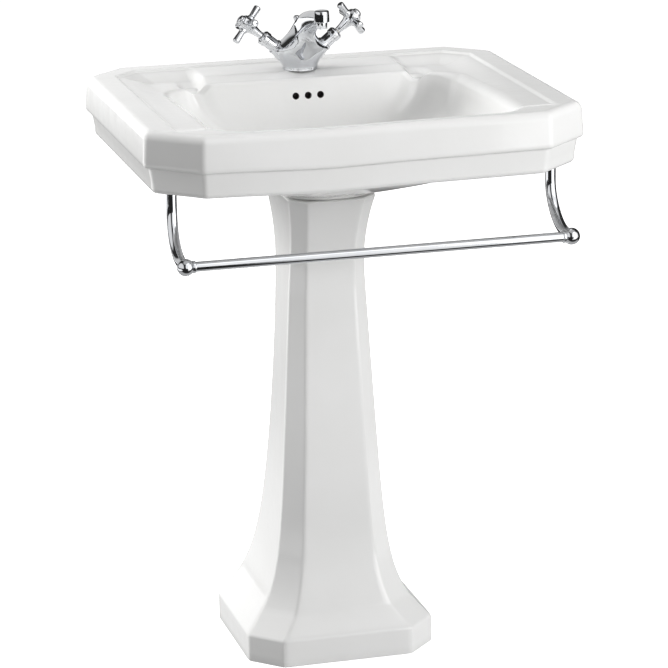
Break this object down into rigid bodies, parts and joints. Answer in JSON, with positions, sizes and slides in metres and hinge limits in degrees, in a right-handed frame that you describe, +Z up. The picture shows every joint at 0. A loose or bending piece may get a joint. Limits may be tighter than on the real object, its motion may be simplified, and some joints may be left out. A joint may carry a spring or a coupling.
{
  "type": "pedestal sink",
  "caption": "Stepped octagonal ceramic basin on a tapering pedestal, with a cross-head mixer tap, pop-up waste, bottle trap and chrome towel rail.",
  "frame": {"origin": "on the floor, in the middle of the overall width and depth", "axes": "+Z up, +Y towards the wall, +X to the right of a person who stands at the basin"},
  "size_m": [0.61, 0.525, 0.931],
  "materials": {
    "china": "glossy white glaze",
    "chrome": "polished chrome plate",
    "brass": "turned, unpolished",
    "copper": "drawn copper tube",
    "steel": "zinc-plated",
    "black_rubber": "matte",
    "white_plastic": "moulded, satin gloss"
  },
  "bodies": {
    "root": {"basin": "china", "pedestal": "china", "seat_pads": "black_rubber", "tap_body": "chrome", "tap_base_seal": "black_rubber", "aerator_housing": "chrome", "aerator_insert": "white_plastic", "hot_bonnet": "chrome", "cold_bonnet": "chrome", "hot_cartridge": "brass", "cold_cartridge": "brass", "hot_tail": "copper", "cold_tail": "copper", "tap_stud": "brass", "tap_rubber_washer": "black_rubber", "tap_metal_washer": "steel", "tap_nut": "brass", "waste_flange": "chrome", "waste_flange_seal": "black_rubber", "waste_lower_seal": "black_rubber", "waste_back_nut": "brass", "waste_body": "chrome", "pivot_nut": "chrome", "trap_inlet_tube": "white_plastic", "trap_inlet_nut": "white_plastic", "trap_body": "white_plastic", "trap_seal": "black_rubber", "trap_cup": "white_plastic", "trap_outlet_nut": "white_plastic", "waste_pipe": "white_plastic", "rail_bar": "chrome", "rail_ball_left": "chrome", "rail_ball_right": "chrome", "rail_bracket_left": "chrome", "rail_bracket_right": "chrome", "rail_flanges": "chrome", "rail_studs": "steel", "rail_washers": "steel", "rail_nuts": "steel"},
    "hot_head": {"hot_handle": "chrome", "hot_spindle": "brass", "hot_handle_screw": "steel", "hot_index_cap": "chrome"},
    "cold_head": {"cold_handle": "chrome", "cold_spindle": "brass", "cold_handle_screw": "steel", "cold_index_cap": "chrome"},
    "lift": {"lift_rod": "chrome", "lift_knob": "chrome", "lift_strap": "steel", "strap_clamp": "steel", "strap_screw": "steel"},
    "lever": {"pivot_rod": "steel", "pivot_clip": "steel"},
    "plug_body": {"plug": "chrome", "plug_seal": "black_rubber"}
  },
  "joints": [
    {"name": "hot_turn", "type": "hinge", "parent": "root", "child": "hot_head", "pos_m": [0, 0.166, 0.8315], "axis": [-0.766, 0, 0.6428], "range_deg": [0, 90]},
    {"name": "cold_turn", "type": "hinge", "parent": "root", "child": "cold_head", "pos_m": [0, 0.166, 0.8315], "axis": [0.766, 0, 0.6428], "range_deg": [-90, 0]},
    {"name": "lift_slide", "type": "slide", "parent": "root", "child": "lift", "axis": [0, 0, 1], "range_m": [0, 0.03]},
    {"name": "lever_tilt", "type": "hinge", "parent": "root", "child": "lever", "pos_m": [0, 0.078, 0.632], "axis": [1, 0, 0], "range_deg": [0, 17]},
    {"name": "plug_drop", "type": "slide", "parent": "root", "child": "plug_body", "axis": [0, 0, 1], "range_m": [-0.0049, 0]}
  ],
  "couplings": [
    {"joint": "lever_tilt", "follows": "lift_slide", "rad_per_m": 9.6},
    {"joint": "plug_drop", "follows": "lift_slide", "ratio": -0.16}
  ]
}
